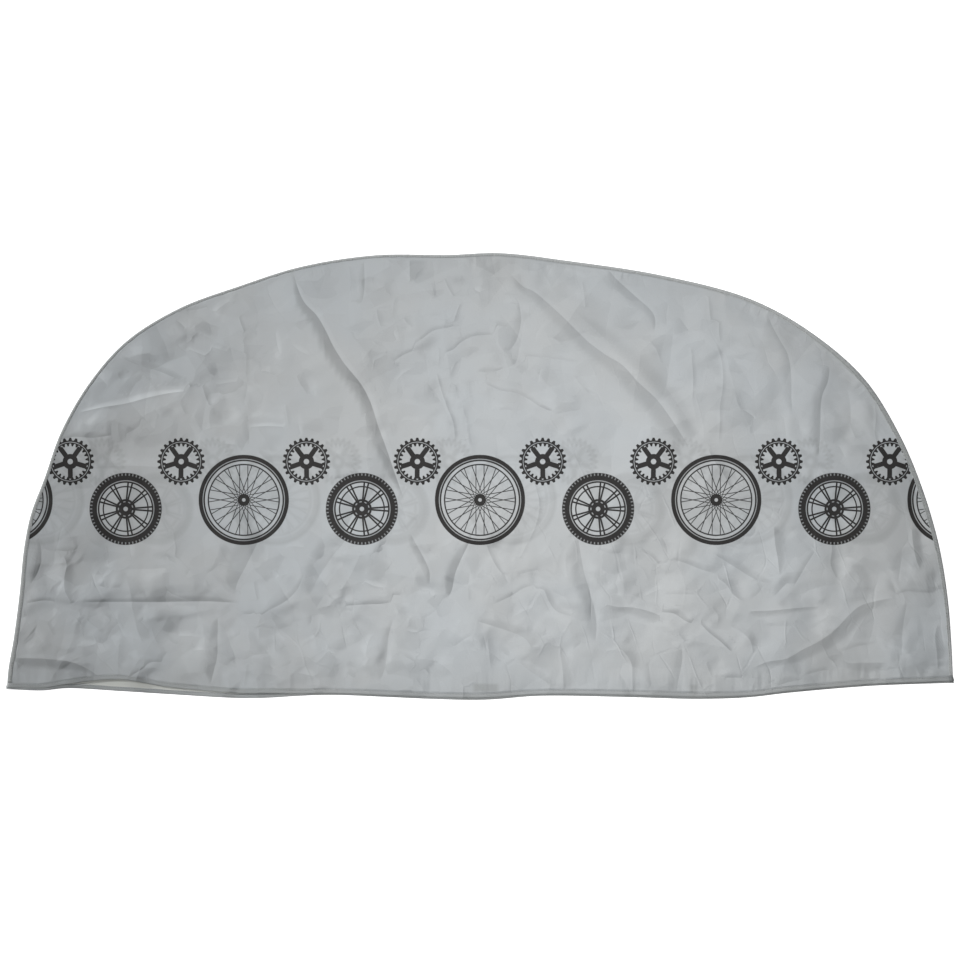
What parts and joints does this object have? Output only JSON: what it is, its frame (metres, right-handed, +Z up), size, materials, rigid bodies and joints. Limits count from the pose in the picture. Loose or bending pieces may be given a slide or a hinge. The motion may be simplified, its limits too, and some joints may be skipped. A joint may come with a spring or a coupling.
{
  "type": "mobility scooter cover",
  "caption": "Half-dome rain cover of thin grey coated cloth laid out flat: front and back panel bound together along the curve, open along the straight hem.",
  "frame": {"origin": "on the floor, under the middle of the cover's outline", "axes": "+X along the hem, to the right as one looks at the printed front panel, +Y from the hem towards the top of the curve, +Z up out of the front panel"},
  "size_m": [2.1, 0.9923, 0.0148],
  "materials": {
    "panel_cloth": "thin coated cloth with a soft satin sheen, printed with a dark band of spoked wheels and cogs",
    "binding_tape": "matt folded tape, sewn through"
  },
  "bodies": {
    "root": {"front_panel": "panel_cloth", "back_panel": "panel_cloth", "edge_binding": "binding_tape"}
  },
  "joints": []
}
